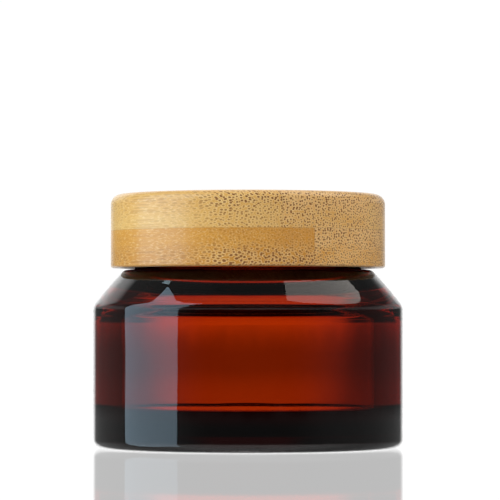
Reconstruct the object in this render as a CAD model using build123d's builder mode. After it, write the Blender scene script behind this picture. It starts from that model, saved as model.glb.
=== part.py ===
from build123d import *
from math import cos, radians, sin
import os

# A screw-top cream jar: a thick-walled glass jar with a sloping shoulder and a threaded
# neck, a plastic sealing disc with a grip fin, and a lid made of laminated bamboo with a
# threaded plastic inner cap and a foam liner. Millimetres, +Z up, origin at the centre of
# the jar's foot, and the screw axis along Z.

os.makedirs("parts", exist_ok=True)

# ---- Glass jar ----
JAR_RADIUS = 30.0
CORNER_HEIGHT = 27.3  # where the upright wall turns in to the shoulder
SHOULDER_RADIUS = 24.0  # outer edge of the flat ring round the neck
SHOULDER_HEIGHT = 34.4
NECK_RADIUS = 21.9
MOUTH_RADIUS = 19.0
RIM_HEIGHT = 42.6
CAVITY_RADIUS = 24.5
FLOOR_HEIGHT = 7.6
CAVITY_CORNER_HEIGHT = 25.9  # where the cavity starts to narrow, parallel to the shoulder
LEDGE_RADIUS = 22.64  # where the narrowing flattens into a ledge round the mouth
LEDGE_HEIGHT = 28.1
MOUTH_FOOT_HEIGHT = 29.7  # where the ledge ends and the mouth runs straight up
PUNT_RADIUS = 22.5  # shallow hollow under the foot
PUNT_DEPTH = 0.8

# ---- Screw thread, single start, right hand ----
LEAD = 4.0
NECK_THREAD_TURNS = 1.125
NECK_THREAD_FOOT = 36.1  # height of the ridge's centre at its lower end
NECK_THREAD_CREST = 23.0
CAP_THREAD_TURNS = 1.075
CAP_THREAD_CREST = 22.15
THREAD_DROP = 1.75  # the lid's ridge lies this far under the neck's ridge
THREAD_ROOTING = 0.3  # how deep a ridge is rooted in its wall
THREAD_FADE = 0.11  # share of a turn over which a ridge rises out of its wall
SECTIONS_PER_TURN = 24

# ---- Sealing disc ----
DISC_RADIUS = 21.7
DISC_THICKNESS = 0.8
DISH_RADIUS = 18.4
DISH_DEPTH = 3.8
FIN_LENGTH = 14.0
FIN_THICKNESS = 1.2
FIN_HEIGHT = 3.2

# ---- Foam liner ----
LINER_RADIUS = 23.05
LINER_THICKNESS = 1.0

# ---- Inner cap ----
CAP_BORE_RADIUS = 23.3
CAP_SKIRT_RADIUS = 24.1
CAP_FOOT_HEIGHT = 35.0
CAP_TOP_THICKNESS = 1.2
BEAD_REACH = 0.45  # small bead inside the skirt that keeps the liner in
BEAD_HALF_HEIGHT = 0.3
GRIP_RIB_COUNT = 36
GRIP_RIB_RADIUS = 0.35
GRIP_RIB_REACH = 24.38  # the ribs' crests, just inside the bamboo's bore

# ---- Bamboo lid ----
LID_RADIUS = 26.6
LID_BORE_RADIUS = 24.4
LID_FOOT_HEIGHT = 34.74
SEAM_HEIGHT = 41.9  # glue line between the two layers of strips
LID_TOP_HEIGHT = 49.0
FIBRE_ANGLE = -48.3  # heading of the bamboo fibres, turned from +X about +Z
UPPER_JOINTS = (-12.3, 7.7)  # glue joints in the upper layer, measured across the fibres
LOWER_JOINTS = (-6.3, 13.7)

# ---- Heights that follow from the pieces resting on each other ----
DISC_TOP = RIM_HEIGHT + DISC_THICKNESS
LINER_TOP = DISC_TOP + LINER_THICKNESS
CAP_TOP = LINER_TOP + CAP_TOP_THICKNESS
DISH_FLOOR = RIM_HEIGHT - DISH_DEPTH


def corner(profile, radius, height):
    """The corner of a turned profile nearest to this radius and height."""
    return profile.vertices().sort_by_distance((radius, height))[0]


def thread_ridge(root, crest, root_width, crest_width, base_height, first_turn, turns):
    """Loft a rounded ridge up a right-hand helix, fading into its wall at both ends.

    root is the wall's radius and crest the ridge's, so a ridge inside a cap has the
    smaller crest. The helix passes base_height over +X, and the ridge covers the stretch
    of it from first_turn onwards.
    """
    outward = 1 if crest > root else -1
    rooted = root - outward * THREAD_ROOTING
    buried = root - outward * THREAD_ROOTING / 3
    crown = 0.25 * root_width - 0.25 * crest_width
    steps = round(turns * SECTIONS_PER_TURN)
    sections = []
    for step in range(steps + 1):
        turn = turns * step / steps
        fade = min(1.0, turn / THREAD_FADE, (turns - turn) / THREAD_FADE)
        peak = buried + (crest - buried) * sin(radians(90 * max(fade, 0)))
        flank_top = peak - outward * crown * abs(peak - rooted) / abs(crest - rooted)
        heading = radians(360 * (first_turn + turn))
        upright = Plane(
            origin=(0, 0, base_height + LEAD * (first_turn + turn)),
            x_dir=(cos(heading), sin(heading), 0),
            z_dir=(sin(heading), -cos(heading), 0),
        )
        with BuildSketch(upright) as section:
            with BuildLine():
                Line((flank_top, crest_width / 2), (rooted, root_width / 2))
                Line((rooted, root_width / 2), (rooted, -root_width / 2))
                Line((rooted, -root_width / 2), (flank_top, -crest_width / 2))
                ThreePointArc(
                    (flank_top, -crest_width / 2), (peak, 0), (flank_top, crest_width / 2)
                )
            make_face()
        sections.append(section.sketch)
    loft(sections)


# ---- Glass jar: a turned body, then the thread wound round its neck ----
with BuildPart() as glass_jar:
    with BuildSketch(Plane.XZ) as jar_profile:
        with BuildLine():
            Polyline(
                (0, PUNT_DEPTH),
                (PUNT_RADIUS - PUNT_DEPTH, PUNT_DEPTH),
                (PUNT_RADIUS, 0),
                (JAR_RADIUS, 0),
                (JAR_RADIUS, CORNER_HEIGHT),
                (SHOULDER_RADIUS, SHOULDER_HEIGHT),
                (NECK_RADIUS, SHOULDER_HEIGHT),
                (NECK_RADIUS, RIM_HEIGHT),
                (MOUTH_RADIUS, RIM_HEIGHT),
                (MOUTH_RADIUS, MOUTH_FOOT_HEIGHT),
                (LEDGE_RADIUS, LEDGE_HEIGHT),
                (CAVITY_RADIUS, CAVITY_CORNER_HEIGHT),
                (CAVITY_RADIUS, FLOOR_HEIGHT),
                (0, FLOOR_HEIGHT),
                close=True,
            )
        make_face()
        fillet(corner(jar_profile, PUNT_RADIUS - PUNT_DEPTH, PUNT_DEPTH), 0.8)
        fillet(corner(jar_profile, PUNT_RADIUS, 0), 0.6)
        fillet(corner(jar_profile, JAR_RADIUS, 0), 1.7)
        fillet(corner(jar_profile, JAR_RADIUS, CORNER_HEIGHT), 2.0)
        fillet(corner(jar_profile, SHOULDER_RADIUS, SHOULDER_HEIGHT), 1.6)
        fillet(corner(jar_profile, NECK_RADIUS, SHOULDER_HEIGHT), 0.5)
        fillet(corner(jar_profile, NECK_RADIUS, RIM_HEIGHT), 0.8)
        fillet(corner(jar_profile, MOUTH_RADIUS, RIM_HEIGHT), 0.8)
        fillet(corner(jar_profile, MOUTH_RADIUS, MOUTH_FOOT_HEIGHT), 1.5)
        fillet(corner(jar_profile, LEDGE_RADIUS, LEDGE_HEIGHT), 1.5)
        fillet(corner(jar_profile, CAVITY_RADIUS, CAVITY_CORNER_HEIGHT), 4.0)
        fillet(corner(jar_profile, CAVITY_RADIUS, FLOOR_HEIGHT), 0.4)
    revolve(axis=Axis.Z)
    thread_ridge(
        root=NECK_RADIUS,
        crest=NECK_THREAD_CREST,
        root_width=2.4,
        crest_width=1.2,
        base_height=NECK_THREAD_FOOT,
        first_turn=0,
        turns=NECK_THREAD_TURNS,
    )

# ---- Sealing disc: a flanged dish in the mouth, with a fin to lift it by ----
with BuildPart() as sealing_disc:
    with BuildSketch(Plane.XZ) as disc_profile:
        with BuildLine():
            Polyline(
                (0, DISH_FLOOR),
                (DISH_RADIUS, DISH_FLOOR),
                (DISH_RADIUS, RIM_HEIGHT),
                (DISC_RADIUS, RIM_HEIGHT),
                (DISC_RADIUS, DISC_TOP),
                (DISH_RADIUS - DISC_THICKNESS, DISC_TOP),
                (DISH_RADIUS - DISC_THICKNESS, DISH_FLOOR + DISC_THICKNESS),
                (0, DISH_FLOOR + DISC_THICKNESS),
                close=True,
            )
        make_face()
        fillet(corner(disc_profile, DISH_RADIUS, DISH_FLOOR), 0.6)
        fillet(corner(disc_profile, DISC_RADIUS, DISC_TOP), 0.3)
        fillet(corner(disc_profile, DISC_RADIUS, RIM_HEIGHT), 0.2)
        fillet(corner(disc_profile, DISH_RADIUS - DISC_THICKNESS, DISC_TOP), 0.3)
    revolve(axis=Axis.Z)
    with BuildSketch(Plane.XY.offset(DISH_FLOOR + DISC_THICKNESS / 2)):
        SlotOverall(FIN_LENGTH, FIN_THICKNESS)
    extrude(amount=FIN_HEIGHT)
    fin_top = DISH_FLOOR + DISC_THICKNESS / 2 + FIN_HEIGHT
    fillet(sealing_disc.edges().filter_by_position(Axis.Z, fin_top - 0.01, fin_top + 0.01), 0.4)

# ---- Foam liner: a plain wad held in the top of the lid ----
with BuildPart() as foam_liner:
    with BuildSketch(Plane.XY.offset(DISC_TOP)):
        Circle(LINER_RADIUS)
    extrude(amount=LINER_THICKNESS)
    fillet(foam_liner.edges(), 0.12)

# ---- Inner cap: a thin threaded shell glued into the bamboo ----
with BuildPart() as inner_cap:
    bead_height = DISC_TOP - BEAD_HALF_HEIGHT - 0.05
    with BuildSketch(Plane.XZ) as cap_profile:
        with BuildLine():
            Polyline(
                (0, LINER_TOP),
                (CAP_BORE_RADIUS, LINER_TOP),
                (CAP_BORE_RADIUS, bead_height + BEAD_HALF_HEIGHT),
                (CAP_BORE_RADIUS - BEAD_REACH, bead_height),
                (CAP_BORE_RADIUS, bead_height - BEAD_HALF_HEIGHT),
                (CAP_BORE_RADIUS, CAP_FOOT_HEIGHT),
                (CAP_SKIRT_RADIUS, CAP_FOOT_HEIGHT),
                (CAP_SKIRT_RADIUS, CAP_TOP),
                (0, CAP_TOP),
                close=True,
            )
        make_face()
        fillet(corner(cap_profile, CAP_BORE_RADIUS - BEAD_REACH, bead_height), 0.15)
        fillet(corner(cap_profile, CAP_BORE_RADIUS, CAP_FOOT_HEIGHT), 0.25)
        fillet(corner(cap_profile, CAP_SKIRT_RADIUS, CAP_FOOT_HEIGHT), 0.25)
        chamfer(corner(cap_profile, CAP_SKIRT_RADIUS, CAP_TOP), 0.4)
    revolve(axis=Axis.Z)
    thread_ridge(
        root=CAP_BORE_RADIUS,
        crest=CAP_THREAD_CREST,
        root_width=1.6,
        crest_width=0.8,
        base_height=NECK_THREAD_FOOT - THREAD_DROP,
        first_turn=0.5,
        turns=CAP_THREAD_TURNS,
    )
    with BuildSketch(Plane.XY.offset(CAP_FOOT_HEIGHT + 1)):
        with PolarLocations(GRIP_RIB_REACH - GRIP_RIB_RADIUS, GRIP_RIB_COUNT):
            Circle(GRIP_RIB_RADIUS)
    extrude(amount=CAP_TOP - CAP_FOOT_HEIGHT - 2)


# ---- Bamboo lid: a turned shell sawn from two layers of glued strips ----
FIBRE_PLANE = Plane.XY.rotated((0, 0, FIBRE_ANGLE))
LOWER_LAYER = (LID_FOOT_HEIGHT, SEAM_HEIGHT)
UPPER_LAYER = (SEAM_HEIGHT, LID_TOP_HEIGHT)
WHOLE = (-LID_RADIUS, LID_RADIUS)


def bamboo_strip(label, layer, across, along=WHOLE):
    """The stretch of the turned lid that one strip of bamboo makes up.

    layer holds its lowest and highest level, across its two edges measured across the
    fibres, and along its two ends measured along them.
    """
    with BuildPart() as strip:
        with BuildSketch(Plane.XZ) as lid_profile:
            with BuildLine():
                Polyline(
                    (0, CAP_TOP),
                    (LID_BORE_RADIUS, CAP_TOP),
                    (LID_BORE_RADIUS, LID_FOOT_HEIGHT),
                    (LID_RADIUS, LID_FOOT_HEIGHT),
                    (LID_RADIUS, LID_TOP_HEIGHT),
                    (0, LID_TOP_HEIGHT),
                    close=True,
                )
            make_face()
            fillet(corner(lid_profile, LID_RADIUS, LID_TOP_HEIGHT), 2.0)
            fillet(corner(lid_profile, LID_RADIUS, LID_FOOT_HEIGHT), 0.5)
            chamfer(corner(lid_profile, LID_BORE_RADIUS, LID_FOOT_HEIGHT), 0.3)
        revolve(axis=Axis.Z)
        with BuildSketch(FIBRE_PLANE.offset(layer[0])):
            with Locations((sum(along) / 2, sum(across) / 2)):
                Rectangle(along[1] - along[0], across[1] - across[0])
        extrude(amount=layer[1] - layer[0], mode=Mode.INTERSECT)
    strip.part.label = label
    export_step(strip.part, f"parts/{label}.step")


bamboo_strip("upper_strip_left", UPPER_LAYER, (-LID_RADIUS, UPPER_JOINTS[0]))
bamboo_strip("upper_strip_middle", UPPER_LAYER, UPPER_JOINTS)
bamboo_strip("upper_strip_right", UPPER_LAYER, (UPPER_JOINTS[1], LID_RADIUS))
bamboo_strip("lower_strip_left", LOWER_LAYER, (-LID_RADIUS, LOWER_JOINTS[0]))
bamboo_strip("lower_strip_front", LOWER_LAYER, LOWER_JOINTS, along=(0, LID_RADIUS))
bamboo_strip("lower_strip_back", LOWER_LAYER, LOWER_JOINTS, along=(-LID_RADIUS, 0))
bamboo_strip("lower_strip_right", LOWER_LAYER, (LOWER_JOINTS[1], LID_RADIUS))

glass_jar.part.label = "glass_jar"
export_step(glass_jar.part, "parts/glass_jar.step")
sealing_disc.part.label = "sealing_disc"
export_step(sealing_disc.part, "parts/sealing_disc.step")
foam_liner.part.label = "foam_liner"
export_step(foam_liner.part, "parts/foam_liner.step")
inner_cap.part.label = "inner_cap"
export_step(inner_cap.part, "parts/inner_cap.step")
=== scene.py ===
"""Looks for the cream jar: amber glass, a laminated bamboo lid, and the plastic and foam inside it."""

import math

import bmesh
import bpy
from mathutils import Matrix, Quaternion, Vector, noise


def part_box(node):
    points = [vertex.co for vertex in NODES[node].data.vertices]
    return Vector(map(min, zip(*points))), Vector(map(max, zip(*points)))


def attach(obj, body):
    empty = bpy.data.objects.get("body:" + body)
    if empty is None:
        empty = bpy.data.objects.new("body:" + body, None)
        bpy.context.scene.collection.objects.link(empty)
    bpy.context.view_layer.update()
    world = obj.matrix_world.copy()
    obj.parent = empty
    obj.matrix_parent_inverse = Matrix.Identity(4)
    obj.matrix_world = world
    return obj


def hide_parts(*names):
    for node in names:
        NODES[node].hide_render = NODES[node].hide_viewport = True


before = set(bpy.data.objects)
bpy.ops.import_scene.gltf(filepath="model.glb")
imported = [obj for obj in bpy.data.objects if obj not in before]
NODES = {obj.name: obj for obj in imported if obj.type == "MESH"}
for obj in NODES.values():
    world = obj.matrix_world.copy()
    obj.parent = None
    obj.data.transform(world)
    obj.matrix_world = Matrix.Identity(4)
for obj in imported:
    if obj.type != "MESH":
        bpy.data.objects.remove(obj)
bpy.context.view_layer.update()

MM = 0.001


# ---------------------------------------------------------------- shader nodes
class Tree:
    """A node tree under construction, with short calls for the nodes used here."""

    def __init__(self, owner):
        owner.use_nodes = True
        self.owner = owner
        self.tree = owner.node_tree

    def feed(self, socket, value):
        """Give a socket a value, or link another socket to it."""
        if isinstance(value, bpy.types.NodeSocket):
            self.tree.links.new(value, socket)
        else:
            socket.default_value = value

    def node(self, kind, settings=None, **inputs):
        """Add a node; settings are its properties and inputs its sockets, with _ for a space."""
        made = self.tree.nodes.new(kind)
        for key, value in (settings or {}).items():
            setattr(made, key, value)
        for key, value in inputs.items():
            self.feed(made.inputs[key.replace("_", " ")], value)
        return made

    def surface(self, **inputs):
        """Set inputs of the material's surface shader by name."""
        for key, value in inputs.items():
            self.feed(self.tree.nodes["Principled BSDF"].inputs[key.replace("_", " ")], value)

    def output(self, name):
        """An input of the material's output node."""
        return self.tree.nodes["Material Output"].inputs[name]

    def math(self, operation, first, second=0.0):
        """One step of arithmetic on numbers or sockets."""
        made = self.tree.nodes.new("ShaderNodeMath")
        made.operation = operation
        self.feed(made.inputs[0], first)
        self.feed(made.inputs[1], second)
        return made.outputs[0]

    def ramp(self, value, low, high, start=0.0, end=1.0):
        """A smooth step from start to end as value goes from low to high."""
        made = self.tree.nodes.new("ShaderNodeMapRange")
        made.interpolation_type = "SMOOTHSTEP"
        settings = {"Value": value, "From Min": low, "From Max": high, "To Min": start, "To Max": end}
        for name, setting in settings.items():
            self.feed(made.inputs[name], setting)
        return made.outputs["Result"]

    def mix(self, share, first, second, blend="MIX"):
        """Mix two colours."""
        made = self.tree.nodes.new("ShaderNodeMix")
        made.data_type = "RGBA"
        made.blend_type = blend
        self.feed(made.inputs["Factor"], share)
        colours = [socket for socket in made.inputs if socket.type == "RGBA"]
        self.feed(colours[0], first)
        self.feed(colours[1], second)
        return next(socket for socket in made.outputs if socket.type == "RGBA")

    def noise(self, vector, scale, detail):
        """Soft noise from 0 to 1."""
        return self.node("ShaderNodeTexNoise", Vector=vector, Scale=scale, Detail=detail).outputs["Fac"]

    def parts(self, vector):
        """The x, y and z of a vector, by name."""
        return self.node("ShaderNodeSeparateXYZ", Vector=vector).outputs

    def away_from(self, value, middle):
        """How far a number is from the middle, either way."""
        return self.math("ABSOLUTE", self.math("SUBTRACT", value, middle))

    def stretch(self, vector, scale):
        """The vector with each of its axes scaled on its own."""
        made = self.node("ShaderNodeVectorMath", {"operation": "MULTIPLY"})
        self.feed(made.inputs[0], vector)
        self.feed(made.inputs[1], scale)
        return made.outputs[0]

    def millimetres(self):
        """Object coordinates, in millimetres."""
        place = self.tree.nodes.new("ShaderNodeTexCoord").outputs["Object"]
        return self.stretch(place, (1 / MM, 1 / MM, 1 / MM))

    def bump(self, height, depth_mm):
        """A normal from a height of 0 to 1, standing for depth_mm."""
        made = self.node("ShaderNodeBump", Height=height)
        made.inputs["Distance"].default_value = depth_mm * MM
        return made.outputs["Normal"]


def new_material(name):
    """A fresh material, ready for nodes."""
    return Tree(bpy.data.materials.new(name))


def dress(node, material):
    """Give a CAD node its material."""
    piece = NODES[node]
    piece.data.materials.clear()
    piece.data.materials.append(material)


# ---------------------------------------------------------------- glass jar
# Heights and radii in millimetres, from the jar's foot and its axis.
JAR_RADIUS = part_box("glass_jar")[1].x / MM
RIM_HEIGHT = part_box("glass_jar")[1].z / MM
CORNER_HEIGHT = 27.3
SHOULDER_RADIUS, SHOULDER_HEIGHT = 24.0, 34.4
SHOULDER_SLOPE = math.atan2(SHOULDER_HEIGHT - CORNER_HEIGHT, JAR_RADIUS - SHOULDER_RADIUS)
NECK_RADIUS = 21.9
MOUTH_RADIUS, MOUTH_FOOT_HEIGHT = 19.0, 29.7
LEDGE_RADIUS, LEDGE_HEIGHT = 22.64, 28.1
CAVITY_RADIUS, CAVITY_CORNER_HEIGHT = 24.5, 25.9
FLOOR_HEIGHT = 7.6
PUNT_RADIUS, PUNT_DEPTH = 22.5, 0.8

# Fillets of the outline, outside and then inside
PUNT_TOP_FILLET, PUNT_FOOT_FILLET, FOOT_FILLET = 0.8, 0.6, 1.7
CORNER_FILLET, SHOULDER_FILLET, NECK_FOOT_FILLET, RIM_FILLET = 2.0, 1.6, 0.5, 0.8
MOUTH_FOOT_FILLET, LEDGE_FILLET, CAVITY_FILLET, FLOOR_FILLET = 1.5, 1.5, 4.0, 0.4
ARC_STEP_DEGREES, FEWEST_ARC_STEPS = 7, 4

# Where the outline passes from wall to neck, above the neck's foot, and from outside to
# inside, out from the mouth
WALL_END, NECK_START = 0.6, 0.7
NECK_END, INSIDE_START = 1.2, 1.1

THREAD_LEAD, THREAD_TURNS, THREAD_FOOT = 4.0, 1.125, 36.1
THREAD_REACH = 1.1  # how far the ridge stands out of the neck
THREAD_CREST_HALF, THREAD_ROOT_HALF = 0.45, 1.25
THREAD_FADE = 0.11  # the share of a turn over which each end of the ridge dies away

# How finely the glass is turned
SEGMENTS = 288
WALL_ROW, NECK_ROW = 0.7, 0.14

# How far moulding has left it from true, and how much of its foot, rim and cavity stays true
OUTER_WAVE, INNER_WAVE = 0.008, 0.012
WAVE_LENGTH, WAVE_HEIGHT = 6.0, 24.0
SHOULDER_CROWN = 0.14  # how far the middle of the shoulder bulges out
SEAM_REACH, SEAM_HALF_WIDTH = 0.03, 0.35
TRUE_FOOT, TRUE_RIM = 1, 0.4
TRUE_CAVITY_RIM, TRUE_CAVITY_FLOOR = 6, 3


def rounded(corners):
    """An outline from corners (radius, height, fillet), each fillet a fine arc."""
    outline = []
    for index, (radius, height, fillet) in enumerate(corners):
        here = Vector((radius, height))
        if fillet == 0:
            outline.append(here)
            continue
        before = (Vector(corners[index - 1][:2]) - here).normalized()
        after = (Vector(corners[index + 1][:2]) - here).normalized()
        half = before.angle(after) / 2
        centre = here + (before + after).normalized() * fillet / math.sin(half)
        first = here + before * fillet / math.tan(half) - centre
        last = here + after * fillet / math.tan(half) - centre
        start = math.atan2(first.y, first.x)
        sweep = (math.atan2(last.y, last.x) - start + math.pi) % math.tau - math.pi
        steps = max(FEWEST_ARC_STEPS, round(abs(math.degrees(sweep)) / ARC_STEP_DEGREES))
        for step in range(steps + 1):
            angle = start + sweep * step / steps
            outline.append(centre + fillet * Vector((math.cos(angle), math.sin(angle))))
    return outline


def with_rows(outline, row):
    """The outline with its long runs divided, so that the surface can ripple."""
    rows = [outline[0]]
    for start, end in zip(outline, outline[1:]):
        count = max(1, math.ceil((end - start).length / row))
        rows += [start.lerp(end, part / count) for part in range(1, count + 1)]
    return rows


def ease(value, none, full):
    """0 at none and before, 1 at full and after, and smooth between."""
    share = min(1.0, max(0.0, (value - none) / (full - none)))
    return share * share * (3 - 2 * share)


def thread_reach(heading, height):
    """How far the screw thread stands out of the neck at this heading and height."""
    reach = 0.0
    for lap in (0, 1):
        turn = heading / math.tau + lap
        if turn < THREAD_TURNS:
            away = abs(height - THREAD_FOOT - THREAD_LEAD * turn)
            fade = min(1.0, turn / THREAD_FADE, (THREAD_TURNS - turn) / THREAD_FADE)
            ridge = THREAD_REACH * ease(away, THREAD_ROOT_HALF, THREAD_CREST_HALF)
            reach = max(reach, ridge * math.sin(math.pi / 2 * fade))
    return reach


def ripple(heading, point, wave):
    """The slow unevenness of moulded glass, from -wave to wave."""
    around = Vector((math.cos(heading), math.sin(heading))) * point.x / WAVE_LENGTH
    return wave * noise.noise((around.x, around.y, point.y / WAVE_HEIGHT))


def outer_shift(heading, point):
    """Where a point of the jar's outside lies: ripples, the crowned shoulder, the thread and the seam."""
    if point.y < PUNT_DEPTH + TRUE_FOOT:
        return point
    shift = ripple(heading, point, OUTER_WAVE)
    if SHOULDER_HEIGHT < point.y < RIM_HEIGHT - TRUE_RIM:
        return Vector((point.x + shift + thread_reach(heading, point.y), point.y))
    if CORNER_HEIGHT < point.y <= SHOULDER_HEIGHT:
        share = (point.y - CORNER_HEIGHT) / (SHOULDER_HEIGHT - CORNER_HEIGHT)
        shift += SHOULDER_CROWN * 4 * share * (1 - share) / math.sin(SHOULDER_SLOPE)
    off_seam = abs(math.sin(heading)) * point.x
    shift += SEAM_REACH * ease(off_seam, SEAM_HALF_WIDTH, 0)
    return Vector((point.x + shift, point.y))


def inner_shift(heading, point):
    """Where a point of the cavity lies: its wall ripples and its rim and floor are true."""
    shift = ripple(heading, point, INNER_WAVE)
    shift *= ease(point.y, RIM_HEIGHT, RIM_HEIGHT - TRUE_CAVITY_RIM)
    shift *= ease(point.y, FLOOR_HEIGHT, FLOOR_HEIGHT + TRUE_CAVITY_FLOOR)
    return Vector((point.x + shift, point.y))


def turned(name, surfaces):
    """A closed mesh turned from outlines, each with a function that shifts its points.

    A point on the axis becomes one corner and any other point a ring of them.
    """
    on_axis = 1e-6
    mesh = bmesh.new()
    rings = []
    for outline, shift in surfaces:
        for point in outline:
            ring = []
            for segment in range(SEGMENTS if point.x > on_axis else 1):
                heading = math.tau * segment / SEGMENTS
                moved = shift(heading, point) * MM
                place = (moved.x * math.cos(heading), moved.x * math.sin(heading), moved.y)
                ring.append(mesh.verts.new(place))
            rings.append(ring)
    for first, second in zip(rings, rings[1:]):
        for segment in range(SEGMENTS):
            following = segment + 1
            corners = [
                first[segment % len(first)],
                first[following % len(first)],
                second[following % len(second)],
                second[segment % len(second)],
            ]
            mesh.faces.new(dict.fromkeys(corners))
    bmesh.ops.recalc_face_normals(mesh, faces=mesh.faces)
    for face in mesh.faces:
        face.smooth = True
    data = bpy.data.meshes.new(name)
    mesh.to_mesh(data)
    mesh.free()
    piece = bpy.data.objects.new(name, data)
    bpy.context.scene.collection.objects.link(piece)
    return piece


def jar_mesh():
    """The jar as one closed surface: foot and wall, threaded neck, then the cavity."""
    below = rounded([
        (0, PUNT_DEPTH, 0),
        (PUNT_RADIUS - PUNT_DEPTH, PUNT_DEPTH, PUNT_TOP_FILLET),
        (PUNT_RADIUS, 0, PUNT_FOOT_FILLET),
        (JAR_RADIUS, 0, FOOT_FILLET),
        (JAR_RADIUS, CORNER_HEIGHT, CORNER_FILLET),
        (SHOULDER_RADIUS, SHOULDER_HEIGHT, SHOULDER_FILLET),
        (NECK_RADIUS, SHOULDER_HEIGHT, NECK_FOOT_FILLET),
        (NECK_RADIUS, SHOULDER_HEIGHT + WALL_END, 0),
    ])
    neck = rounded([
        (NECK_RADIUS, SHOULDER_HEIGHT + NECK_START, 0),
        (NECK_RADIUS, RIM_HEIGHT, RIM_FILLET),
        (MOUTH_RADIUS + NECK_END, RIM_HEIGHT, 0),
    ])
    inside = rounded([
        (MOUTH_RADIUS + INSIDE_START, RIM_HEIGHT, 0),
        (MOUTH_RADIUS, RIM_HEIGHT, RIM_FILLET),
        (MOUTH_RADIUS, MOUTH_FOOT_HEIGHT, MOUTH_FOOT_FILLET),
        (LEDGE_RADIUS, LEDGE_HEIGHT, LEDGE_FILLET),
        (CAVITY_RADIUS, CAVITY_CORNER_HEIGHT, CAVITY_FILLET),
        (CAVITY_RADIUS, FLOOR_HEIGHT, FLOOR_FILLET),
        (0, FLOOR_HEIGHT, 0),
    ])
    return turned("amber_glass_jar", [
        (with_rows(below, WALL_ROW), outer_shift),
        (with_rows(neck, NECK_ROW), outer_shift),
        (with_rows(inside, WALL_ROW), inner_shift),
    ])


GLASS_TINT, GLASS_DENSITY = (0.873, 0.485, 0.047, 1), 640
GLASS_IOR = 1.5
GLASS_HAZE = 0.02  # roughness where hands have touched it
GLASS_RIPPLE = 0.007  # moulding ripples too fine for the mesh, in millimetres


def amber_glass():
    """Clear red-brown glass; the colour is absorbed on the way through, so thick glass is dark."""
    glass = new_material("amber_glass")
    place = glass.millimetres()
    handled = glass.noise(place, 0.12, 3.0)
    ripples = glass.noise(glass.stretch(place, (0.5, 0.5, 0.12)), 1.0, 0.0)
    glass.surface(
        Base_Color=(1, 1, 1, 1),
        Transmission_Weight=1.0,
        IOR=GLASS_IOR,
        Roughness=glass.ramp(handled, 0.5, 0.75, 0.0, GLASS_HAZE),
        Normal=glass.bump(ripples, GLASS_RIPPLE),
    )
    inside = glass.node("ShaderNodeVolumeAbsorption")
    inside.inputs["Color"].default_value = GLASS_TINT
    inside.inputs["Density"].default_value = GLASS_DENSITY
    glass.feed(glass.output("Volume"), inside.outputs["Volume"])
    return glass.owner


jar = jar_mesh()
jar.data.materials.append(amber_glass())
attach(jar, "jar")
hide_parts("glass_jar")


# ---------------------------------------------------------------- bamboo lid
# Heights and radii in millimetres. The fibres of every strip run along one heading, and the
# photo sees them end-on at the lid's right and from the side at its left.
FIBRE_HEADING = math.radians(-48.3)
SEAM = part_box("upper_strip_left")[0].z / MM
LID_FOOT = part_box("lower_strip_left")[0].z / MM
LID_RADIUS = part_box("lower_strip_right")[1].x / MM

# The bundles of fibres: how far each reaches, as a share of the spacing, at the pith and
# at the bark; how much they differ; and where their pale halo, a painted highlight, ends and is full
PITH_REACH, BARK_REACH = 0.37, 0.41
THINNEST, THICKEST = 0.8, 1.15
DARK_HEART = 0.5  # the share of a bundle that is fully dark
CELL_RANDOMNESS = 0.75
HALO_END, HALO_FULL = 0.62, 0.46
# the halo's and the flecks' shares are shares of painted highlight
DOT_SHARE, HALO_HIGHLIGHT_SHARE, FLECK_HIGHLIGHT_SHARE = 0.97, 0.50, 0.30
BEND = 0.7  # how far fibres wander, in millimetres
SEED_STEP = (31.7, 17.3, 7.9)  # moves each strip's pattern to a place of its own

# Noise per millimetre: along the fibres, across them and up
WOBBLE, FIBRES, BANDS = (0.12, 0.4, 0.4), (0.10, 4.0, 4.0), (0.02, 0.16, 0.35)
FLECKS, KNUCKLE_RUN = (0.9, 5.0, 5.0), (0.0, 0.5, 0.5)

# Bundles are fainter in the rind at the lid's sides, and softer seen along their length
RIND_FULL, RIND_END, RIND_STRENGTH = 1.5, 6, 0.25
UPRIGHT, FLAT, FLAT_STRENGTH = 0.6, 0.98, 0.38

GLUE_HALF_WIDTH, GLUE_SHARE, GLUE_CLEARANCE = 0.10, 0.22, 1
# painted shade at the lid's foot: how high it reaches, in millimetres, and how dark
FOOT_SHADE_HEIGHT, FOOT_SHADE_SHARE = 0.5, 0.3
KNUCKLE_WAVE, KNUCKLE_EDGE, KNUCKLE_LINE, KNUCKLE_SHARE = 0.3, 0.8, 0.1, 0.45
WOOD_RELIEF = 0.03  # in millimetres
FIBRE_RELIEF, DOT_RELIEF, GLUE_RELIEF = 0.35, 0.25, 0.6

DOT_BROWN = (0.20, 0.058, 0.001, 1)
# the pale of the painted highlights on the halos and flecks
HIGHLIGHT_PALE = (0.95, 0.68, 0.30, 1)
FIBRE_SHADE = (0.80, 0.66, 0.46, 1)
GLUE_BROWN = (0.16, 0.08, 0.03, 1)
# the brown of the painted shade at the lid's foot
FOOT_SHADE_BROWN = (0.30, 0.17, 0.07, 1)
KNUCKLE_BROWN = (0.38, 0.17, 0.04, 1)


def glued_edges(node):
    """Where a strip is glued to the strips beside it, measured across the fibres in millimetres."""
    places = [
        (corner.co.y * math.cos(FIBRE_HEADING) - corner.co.x * math.sin(FIBRE_HEADING)) / MM
        for corner in NODES[node].data.vertices
    ]
    return [edge for edge in (min(places), max(places)) if abs(edge) < LID_RADIUS - GLUE_CLEARANCE]


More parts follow.
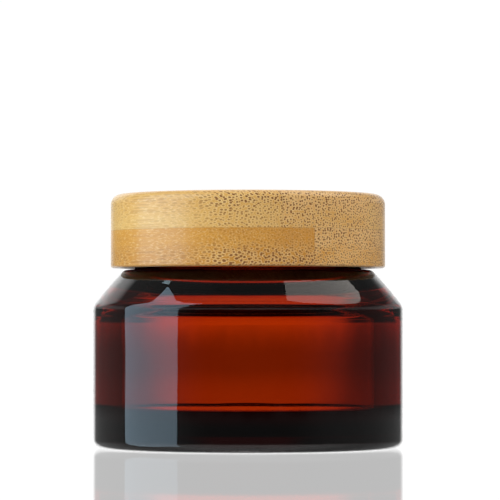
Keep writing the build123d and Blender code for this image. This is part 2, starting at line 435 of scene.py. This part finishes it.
def bamboo(node, skin, pith, bark_up, seed, spacing, evenness, knuckle=None):
    """Bamboo cut across and along its fibres.

    skin is the colour near the culm's outer face and pith near its inner one; bark_up
    tells whether the outer face is the strip's top. spacing is how far apart the bundles
    of fibres lie, in millimetres, and evenness how dark they stay towards the pith.
    knuckle is where along the fibres the strip has one of the culm's joints.
    """
    wood = new_material("bamboo_" + node)
    turn = wood.node("ShaderNodeVectorRotate", {"rotation_type": "Z_AXIS"}, Vector=wood.millimetres())
    turn.inputs["Angle"].default_value = -FIBRE_HEADING
    shifted = wood.node("ShaderNodeVectorMath", {"operation": "ADD"})
    wood.feed(shifted.inputs[0], turn.outputs[0])
    shifted.inputs[1].default_value = [seed * step for step in SEED_STEP]
    grain = shifted.outputs[0]
    along, across, height = wood.parts(turn.outputs[0])

    # how near the outer face of the culm: 1 at the bark, 0 at the pith
    low, high = [corner.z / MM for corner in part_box(node)]
    bark = wood.ramp(height, low, high) if bark_up else wood.ramp(height, high, low)

    # bundles of fibres: dots end-on, long streaks along the strip
    wobble = wood.node("ShaderNodeTexNoise", Vector=wood.stretch(grain, WOBBLE), Scale=1.0)
    bent = wood.node("ShaderNodeVectorMath", {"operation": "MULTIPLY_ADD"})
    wood.feed(bent.inputs[0], wobble.outputs["Color"])
    bent.inputs[1].default_value = (0, BEND, BEND)
    wood.feed(bent.inputs[2], grain)
    ends = wood.parts(bent.outputs[0])
    section = wood.node("ShaderNodeCombineXYZ", X=ends["Y"], Y=ends["Z"])
    cells = wood.node("ShaderNodeTexVoronoi", {"voronoi_dimensions": "2D"}, Vector=section.outputs[0])
    cells.inputs["Scale"].default_value = 1 / spacing
    cells.inputs["Randomness"].default_value = CELL_RANDOMNESS
    distance = cells.outputs["Distance"]
    chance = wood.node("ShaderNodeSeparateColor", Color=cells.outputs["Color"]).outputs["Red"]
    reach = wood.ramp(bark, 0.0, 1.0, PITH_REACH, BARK_REACH)
    reach = wood.math("MULTIPLY", reach, wood.ramp(chance, 0.0, 1.0, THINNEST, THICKEST))
    bundle = wood.ramp(distance, reach, wood.math("MULTIPLY", reach, DARK_HEART))
    strength = wood.ramp(bark, 0.1, 1.0, evenness, 1.0)
    strength = wood.math("MULTIPLY", strength, wood.ramp(chance, 0.0, 0.6, 0.6, 1.0))
    sideways = wood.math("ABSOLUTE", across)
    rind = wood.ramp(sideways, LID_RADIUS - RIND_FULL, LID_RADIUS - RIND_END, RIND_STRENGTH, 1.0)
    strength = wood.math("MULTIPLY", strength, rind)
    normal = wood.tree.nodes.new("ShaderNodeNewGeometry").outputs["Normal"]
    level = wood.math("ABSOLUTE", wood.parts(normal)["Z"])
    strength = wood.math("MULTIPLY", strength, wood.ramp(level, UPRIGHT, FLAT, 1.0, FLAT_STRENGTH))
    dots = wood.math("MULTIPLY", bundle, strength)
    # painted highlight: a pale halo round each bundle
    halo = wood.math("SUBTRACT", wood.ramp(distance, HALO_END, HALO_FULL), bundle)

    # ground colour: bands, fine fibres and slow variation
    fibres = wood.noise(wood.stretch(grain, FIBRES), 1.0, 3.0)
    bands = wood.noise(wood.stretch(grain, BANDS), 1.0, 2.0)
    barkward = wood.ramp(bark, 0.0, 1.0, -0.1, 0.6)
    banded = wood.ramp(bands, 0.32, 0.68, -0.1, 0.6)
    colour = wood.mix(wood.math("ADD", barkward, banded), pith, skin)
    colour = wood.mix(wood.ramp(fibres, 0.62, 0.35, 0.0, 0.28), colour, FIBRE_SHADE, "MULTIPLY")
    # painted highlights: pale flecks along the fibres
    flecks = wood.noise(wood.stretch(grain, FLECKS), 1.0, 1.0)
    pale = wood.math("MULTIPLY", halo, wood.math("MULTIPLY", strength, HALO_HIGHLIGHT_SHARE))
    pale = wood.math("ADD", pale, wood.ramp(flecks, 0.52, 0.70, 0.0, FLECK_HIGHLIGHT_SHARE))
    colour = wood.mix(pale, colour, HIGHLIGHT_PALE)
    colour = wood.mix(wood.math("MULTIPLY", dots, DOT_SHARE), colour, DOT_BROWN)

    # glue lines to the strips beside and to the other layer
    glue = wood.ramp(wood.away_from(height, SEAM), GLUE_HALF_WIDTH, 0.0)
    for edge in glued_edges(node):
        line = wood.ramp(wood.away_from(across, edge), GLUE_HALF_WIDTH, 0.0)
        glue = wood.math("MAXIMUM", glue, line)
    colour = wood.mix(wood.math("MULTIPLY", glue, GLUE_SHARE), colour, GLUE_BROWN)

    # painted shade: the colour darkens towards the lid's foot
    foot = wood.ramp(height, LID_FOOT + FOOT_SHADE_HEIGHT, LID_FOOT, 0.0, FOOT_SHADE_SHARE)
    colour = wood.mix(foot, colour, FOOT_SHADE_BROWN)

    # a joint of the culm, a wavy line across the fibres
    if knuckle is not None:
        wave = wood.noise(wood.stretch(grain, KNUCKLE_RUN), 1.0, 2.0)
        place = wood.ramp(wave, 0.2, 0.8, knuckle - KNUCKLE_WAVE, knuckle + KNUCKLE_WAVE)
        ring = wood.ramp(wood.away_from(along, place), KNUCKLE_EDGE, KNUCKLE_LINE)
        colour = wood.mix(wood.math("MULTIPLY", ring, KNUCKLE_SHARE), colour, KNUCKLE_BROWN)

    # fibres stand up, bundles and glue lines sink in
    raised = wood.math("MULTIPLY", fibres, FIBRE_RELIEF)
    relief = wood.math("SUBTRACT", raised, wood.math("MULTIPLY", dots, DOT_RELIEF))
    relief = wood.math("SUBTRACT", relief, wood.math("MULTIPLY", glue, GLUE_RELIEF))
    wood.surface(
        Base_Color=colour,
        Roughness=wood.ramp(wood.math("ADD", fibres, dots), 0.2, 1.4, 0.42, 0.60),
        Coat_Weight=0.65,
        Coat_Roughness=0.24,
        Coat_IOR=1.5,
        Specular_IOR_Level=0.4,
        Sheen_Weight=0.25,
        Sheen_Roughness=0.20,
        Normal=wood.bump(relief, WOOD_RELIEF),
    )
    return wood.owner


# The strips' colours, from pale to dark
CREAM = (0.70, 0.385, 0.088, 1)
STRAW = (0.67, 0.335, 0.060, 1)
HONEY = (0.63, 0.265, 0.013, 1)
AMBER = (0.55, 0.215, 0.006, 1)
TAN = (0.74, 0.40, 0.120, 1)
STRIPS = {
    "upper_strip_left": dict(
        skin=STRAW, pith=CREAM, bark_up=True, seed=1, spacing=0.54, evenness=0.6),
    "upper_strip_middle": dict(
        skin=TAN, pith=STRAW, bark_up=True, seed=2, spacing=0.54, evenness=0.9, knuckle=-9.0),
    "upper_strip_right": dict(
        skin=TAN, pith=CREAM, bark_up=True, seed=3, spacing=0.54, evenness=0.9, knuckle=3.0),
    "lower_strip_left": dict(
        skin=AMBER, pith=HONEY, bark_up=False, seed=4, spacing=0.60, evenness=0.22),
    "lower_strip_front": dict(
        skin=TAN, pith=HONEY, bark_up=True, seed=5, spacing=0.54, evenness=0.9),
    "lower_strip_back": dict(
        skin=HONEY, pith=STRAW, bark_up=False, seed=6, spacing=0.60, evenness=0.5),
    "lower_strip_right": dict(
        skin=STRAW, pith=CREAM, bark_up=False, seed=7, spacing=0.54, evenness=0.9),
}
for strip, look in STRIPS.items():
    dress(strip, bamboo(strip, **look))


# ---------------------------------------------------------------- plastic and foam
CAP_BLACK = (0.018, 0.018, 0.02, 1)
DISC_WHITE = (0.72, 0.71, 0.67, 1)
FOAM_CELL, FOAM_SKIN = (0.74, 0.74, 0.71, 1), (0.82, 0.82, 0.80, 1)
FLOW_SHADE = 0.88  # how much darker plastic is along its flow lines
UNEVEN_GLOSS = 0.12
PEEL_RELIEF, FOAM_RELIEF = 0.01, 0.04  # in millimetres


def moulded_plastic(name, colour, roughness, see_through=0.0):
    """Injection-moulded plastic: a faint orange peel and uneven gloss."""
    plastic = new_material(name)
    place = plastic.millimetres()
    flow = plastic.noise(place, 0.3, 3.0)
    gloss = plastic.noise(place, 1.5, 2.0)
    darker = [FLOW_SHADE * part for part in colour[:3]] + [1]
    plastic.surface(
        Base_Color=plastic.mix(plastic.ramp(flow, 0.3, 0.7), colour, darker),
        Roughness=plastic.ramp(gloss, 0.3, 0.7, roughness, roughness + UNEVEN_GLOSS),
        Subsurface_Weight=see_through,
        Subsurface_Scale=0.002,
        Normal=plastic.bump(plastic.noise(place, 4.0, 1.0), PEEL_RELIEF),
    )
    return plastic.owner


def foam():
    """Closed-cell foam with a smooth skin over its cells."""
    wad = new_material("liner_foam")
    place = wad.millimetres()
    cells = wad.node("ShaderNodeTexVoronoi", Vector=place, Scale=3.0).outputs["Distance"]
    wad.surface(
        Base_Color=wad.mix(wad.ramp(cells, 0.1, 0.6), FOAM_CELL, FOAM_SKIN),
        Roughness=wad.ramp(wad.noise(place, 2.0, 2.0), 0.3, 0.7, 0.62, 0.8),
        Subsurface_Weight=0.15,
        Subsurface_Scale=0.001,
        Normal=wad.bump(cells, FOAM_RELIEF),
    )
    return wad.owner


dress("inner_cap", moulded_plastic("cap_plastic", CAP_BLACK, 0.38))
dress("sealing_disc", moulded_plastic("disc_plastic", DISC_WHITE, 0.42, see_through=0.3))
dress("foam_liner", foam())


# ---------------------------------------------------------------- floor, light and camera
# Light levels of the floor and the room. What each kind of ray sees is set on its own: the
# camera white, the glass and the gloss a dim room with cards of light, as in a studio.
WHITE = 1.02  # just past 1, so that it shows as pure white
CORE_GLOW, WIDE_GLOW, SIDE_GLOW, FRONT_GLOW = 0.55, 0.45, 0.24, 0.6
SIDE_DIM = 0.4  # what is left of the glow broadside on
HORIZON_DIP, HORIZON_LOW, HORIZON_GAIN = -0.0113, 0.40, 0.62
SHOULDER_SHADE = 0.9
SIDE_GREY, SIDE_SHADES, BACKDROP = 0.12, (0.85, 1.15), 1.0
LEFT_GAIN, RIGHT_GAIN = 1.2, 0.75
CEILING_GREY, WALL_GREY, FLOOR_GREY, FLOOR_GLARE = 0.13, 0.42, 0.10, 0.8
GLARE_BEHIND = 0.25  # the share of the floor's glare that comes from behind the jar
ROOM_BOUNCE, FLOOR_BOUNCE = 0.85, 0.70

# Where those levels change, by heading off the back of the jar, in degrees
CORE_EDGE, WIDE_EDGE, FRONT_EDGE = (18, 6), (45, 15), (92, 125)
SIDE_EDGE, SIDE_SHADE_EDGE, BACKDROP_EDGE = (155, 105), (36, 62), (27, 15)

# in radians
BROADSIDE, GLARE_TURN, SHOULDER_TURN, SHADOW_TURN = (1.2, 0.8), (1.2, 2.4), (0.14, 0.30), (1.3, 0.8)

# and by how far a ray goes up, or to the right, for each metre it travels
SHOULDER_RISE, GLARE_RISE, FLOOR_RISE = (0.015, 0.06), (-0.06, -0.30), (-0.025, -0.031)
CEILING_RISE, WALL_FOOT, WALL_TOP = (0.30, 0.75), (0.05, 0.10), (0.45, 0.25)
ACROSS = (-0.6, 0.6)

# The floor, in metres from its middle
FLOOR_RADIUS = 2.0
FADE_REACH, UNDER_REACH, SHADOW_REACH, MIRROR_REACH = (1.1, 0.3), (0.3, 0.06), (0.20, 0.12), (0.34, 0.20)
FLOOR_GAP = 0.05  # in millimetres, so that the floor never touches the foot
FLOOR_FAR, FLOOR_NEAR, FLOOR_UNDER = 0.40, 0.63, -0.3
JAR_SHADOW = 0.95
MIRROR_SHARE, MIRROR_ROUGHNESS = 0.52, 0.03


def heading_off_back(tree, toward):
    """How far a direction or a place lies from straight behind the jar, in radians."""
    parts = tree.parts(toward)
    return tree.math("ARCTAN2", tree.math("ABSOLUTE", parts["X"]), parts["Y"])


def sweep(tree, off_back, first, last, start, end):
    """A level that goes from start to end between two headings off the back, in degrees."""
    return tree.ramp(off_back, math.radians(first), math.radians(last), start, end)


def seen_through_glass(tree, off_back):
    """The glow behind the glass: a bright card straight behind, dim sides, a soft glow from the front."""
    core = sweep(tree, off_back, *CORE_EDGE, 0.0, CORE_GLOW)
    wide = sweep(tree, off_back, *WIDE_EDGE, SIDE_GLOW, WIDE_GLOW)
    wide = tree.math("MULTIPLY", wide, tree.ramp(off_back, *BROADSIDE, SIDE_DIM, 1.0))
    behind = tree.math("ADD", core, wide)
    return tree.math("ADD", behind, sweep(tree, off_back, *FRONT_EDGE, 0.0, FRONT_GLOW))


def seen_in_gloss(tree, off_back):
    """The dim room that the gloss mirrors: black towards the camera, grey to the sides."""
    sides = sweep(tree, off_back, *SIDE_EDGE, 0.0, SIDE_GREY)
    sides = tree.math("MULTIPLY", sides, sweep(tree, off_back, *SIDE_SHADE_EDGE, *SIDE_SHADES))
    return tree.math("ADD", sides, sweep(tree, off_back, *BACKDROP_EDGE, 0.0, BACKDROP))


def by_ray(tree, camera, diffuse, glass, gloss):
    """One of four levels, by the kind of ray that looks."""
    path = tree.tree.nodes.new("ShaderNodeLightPath").outputs
    level = gloss
    kinds = {"Is Transmission Ray": glass, "Is Diffuse Ray": diffuse, "Is Camera Ray": camera}
    for kind, seen in kinds.items():
        choice = tree.node("ShaderNodeMix", {"data_type": "FLOAT"}, Factor=path[kind])
        tree.feed(choice.inputs[2], level)
        tree.feed(choice.inputs[3], seen)
        level = choice.outputs[0]
    return level


def floor_material():
    """White to the camera, mirroring the jar a little close by, and dim to the glass."""
    pale = new_material("floor")
    place = pale.tree.nodes.new("ShaderNodeTexCoord").outputs["Object"]
    away = pale.node("ShaderNodeVectorMath", {"operation": "LENGTH"}, Vector=place).outputs["Value"]
    off_back = heading_off_back(pale, place)

    # what the glass sees, with the jar's own shadow behind it
    lit = pale.ramp(away, *FADE_REACH, FLOOR_FAR, FLOOR_NEAR)
    lit = pale.math("ADD", lit, pale.ramp(away, *UNDER_REACH, 0.0, FLOOR_UNDER))
    lit = pale.math("MULTIPLY", lit, seen_through_glass(pale, off_back))
    shadow = pale.math("MULTIPLY", pale.ramp(away, *SHADOW_REACH), pale.ramp(off_back, *SHADOW_TURN))
    shadow = pale.math("MULTIPLY", shadow, JAR_SHADOW)
    lit = pale.math("MULTIPLY", lit, pale.math("SUBTRACT", 1.0, shadow))

    # what the camera sees: near the jar a share of the white is a mirror instead
    near = pale.ramp(away, *MIRROR_REACH, 0.0, MIRROR_SHARE)
    shown = pale.math("SUBTRACT", WHITE, near)
    glow = pale.node("ShaderNodeEmission", Strength=by_ray(pale, shown, FLOOR_BOUNCE, lit, 0.0))
    mirror = pale.node("ShaderNodeBsdfGlossy", Roughness=MIRROR_ROUGHNESS)
    direct = pale.tree.nodes.new("ShaderNodeLightPath").outputs["Is Camera Ray"]
    strength = pale.math("MULTIPLY", near, direct)
    pale.feed(mirror.inputs["Color"], pale.mix(strength, (0, 0, 0, 1), (1, 1, 1, 1)))

    both = pale.node("ShaderNodeAddShader")
    pale.feed(both.inputs[0], glow.outputs[0])
    pale.feed(both.inputs[1], mirror.outputs[0])
    pale.feed(pale.output("Surface"), both.outputs[0])
    return pale.owner


def floor():
    """A plain pale floor, a hair under the jar's foot."""
    mesh = bmesh.new()
    bmesh.ops.create_circle(mesh, cap_ends=True, segments=96, radius=FLOOR_RADIUS)
    data = bpy.data.meshes.new("floor")
    mesh.to_mesh(data)
    mesh.free()
    data.materials.append(floor_material())
    piece = bpy.data.objects.new("floor", data)
    piece.location.z = -FLOOR_GAP * MM
    piece.visible_glossy = False
    piece.visible_shadow = False
    bpy.context.scene.collection.objects.link(piece)


def direction(heading, elevation):
    """A unit vector; heading is in degrees from the camera's side, positive to its right."""
    turn, lift = math.radians(heading), math.radians(elevation)
    return Vector((math.sin(turn) * math.cos(lift), -math.cos(turn) * math.cos(lift), math.sin(lift)))


def patch(tree, toward, heading, elevation, full, none, strength):
    """A round soft light in the room, seen in gloss alone; full and none are in degrees off its middle."""
    angle = tree.node("ShaderNodeVectorMath", {"operation": "DOT_PRODUCT"})
    tree.feed(angle.inputs[0], toward)
    angle.inputs[1].default_value = direction(heading, elevation)
    edges = (math.cos(math.radians(none)), math.cos(math.radians(full)))
    return tree.ramp(angle.outputs["Value"], *edges, 0.0, strength)


def room_in_glass(room, off_back, rise):
    """The glow through the glass: it dims below the horizon, and above it to the sides."""
    above = room.node("ShaderNodeMapRange", Value=rise)
    above.inputs["From Min"].default_value = HORIZON_DIP
    above.inputs["From Max"].default_value = 0.0
    horizon = room.math("MULTIPLY", HORIZON_GAIN, room.math("POWER", above.outputs[0], 2.0))
    horizon = room.math("ADD", HORIZON_LOW, horizon)
    glow = room.math("MULTIPLY", seen_through_glass(room, off_back), horizon)
    aside = room.ramp(off_back, *SHOULDER_TURN, 0.0, SHOULDER_SHADE)
    aside = room.math("MULTIPLY", aside, room.ramp(rise, *SHOULDER_RISE))
    return room.math("MULTIPLY", glow, room.math("SUBTRACT", 1.0, aside))


def room_in_gloss(room, toward, off_back):
    """What the gloss mirrors: grey sides, walls and ceiling, a soft lamp, and a floor with glare."""
    parts = room.parts(toward)
    right, rise = parts["X"], parts["Z"]
    uneven = room.ramp(right, *ACROSS, LEFT_GAIN, RIGHT_GAIN)
    gloss = room.math("MULTIPLY", seen_in_gloss(room, off_back), uneven)
    gloss = room.math("MAXIMUM", gloss, room.ramp(rise, *CEILING_RISE, 0.0, CEILING_GREY))
    walls = room.ramp(rise, *WALL_TOP, 0.0, WALL_GREY)
    walls = room.math("MULTIPLY", walls, room.ramp(rise, *WALL_FOOT))
    gloss = room.math("MAXIMUM", gloss, walls)
    lamp = patch(room, toward, heading=-151, elevation=23, full=4, none=16, strength=0.75)
    gloss = room.math("ADD", gloss, lamp)
    gloss = room.math("ADD", gloss, room.ramp(rise, *FLOOR_RISE, 0.0, FLOOR_GREY))
    glare = room.ramp(off_back, *GLARE_TURN, GLARE_BEHIND, 1.0)
    glare = room.math("MULTIPLY", glare, room.ramp(rise, *GLARE_RISE, 0.0, FLOOR_GLARE))
    return room.math("ADD", gloss, glare)


def surround():
    """White behind the jar to the camera; to the glass, cards of light in a dim room."""
    world = bpy.data.worlds.new("studio")
    world.cycles.sampling_method = "NONE"
    bpy.context.scene.world = world
    room = Tree(world)
    toward = room.tree.nodes.new("ShaderNodeTexCoord").outputs["Generated"]
    off_back = heading_off_back(room, toward)
    glass = room_in_glass(room, off_back, room.parts(toward)["Z"])
    gloss = room_in_gloss(room, toward, off_back)
    background = room.tree.nodes["Background"]
    room.feed(background.inputs["Strength"], by_ray(room, WHITE, ROOM_BOUNCE, glass, gloss))
    background.inputs["Color"].default_value = (1, 1, 1, 1)


# Soft lights, aimed at the middle of the jar; angles are in degrees and sizes in metres
LIT_HEIGHT = 0.02
LIGHTS = {
    "left_softbox": dict(
        heading=-76.5, elevation=12, distance=0.60, width=0.56, height=1.27, radiance=(1.5, 2.1, 2.6)),
    "left_spot": dict(
        heading=-114, elevation=54.5, distance=0.60, width=0.05, height=0.05, radiance=(1.9, 2.6, 2.9),
        roll=45),
    "right_softbox": dict(
        heading=104.5, elevation=58, distance=0.60, width=0.38, height=0.36, radiance=(1.7, 1.6, 1.5)),
}


def softbox(name, heading, elevation, distance, width, height, radiance, roll=0.0):
    """A rectangular soft light aimed at the jar."""
    lamp = bpy.data.lights.new(name, "AREA")
    lamp.shape = "RECTANGLE"
    lamp.size, lamp.size_y = width, height
    brightest = max(radiance)
    lamp.color = [part / brightest for part in radiance]
    lamp.energy = brightest * math.pi * width * height
    light = bpy.data.objects.new(name, lamp)
    bpy.context.scene.collection.objects.link(light)
    out = direction(heading, elevation)
    light.location = Vector((0, 0, LIT_HEIGHT)) + out * distance
    aimed = out.to_track_quat("Z", "Y") @ Quaternion((0, 0, 1), math.radians(roll))
    light.rotation_euler = aimed.to_euler()
    light.visible_camera = False
    light.visible_transmission = False


EYE = (0.0004, -0.621, 0.0245)
EYE_TIP = 1.27  # how far the view tips up, in degrees
LENS, SENSOR = 230.4, 36.0


def camera():
    """The photograph's view: far off, level with the jar's middle and tipped slightly up."""
    lens = bpy.data.cameras.new("camera")
    lens.lens, lens.sensor_width = LENS, SENSOR
    lens.clip_start = 0.05
    eye = bpy.data.objects.new("camera", lens)
    eye.location = EYE
    eye.rotation_euler = (math.radians(90 + EYE_TIP), 0, 0)
    bpy.context.scene.collection.objects.link(eye)
    bpy.context.scene.camera = eye


floor()
surround()
for light_name, settings in LIGHTS.items():
    softbox(light_name, **settings)
camera()
bpy.context.scene.view_settings.view_transform = "Standard"
bpy.context.scene.cycles.max_bounces = 32
bpy.context.scene.cycles.transmission_bounces = 24
bpy.context.scene.cycles.glossy_bounces = 12
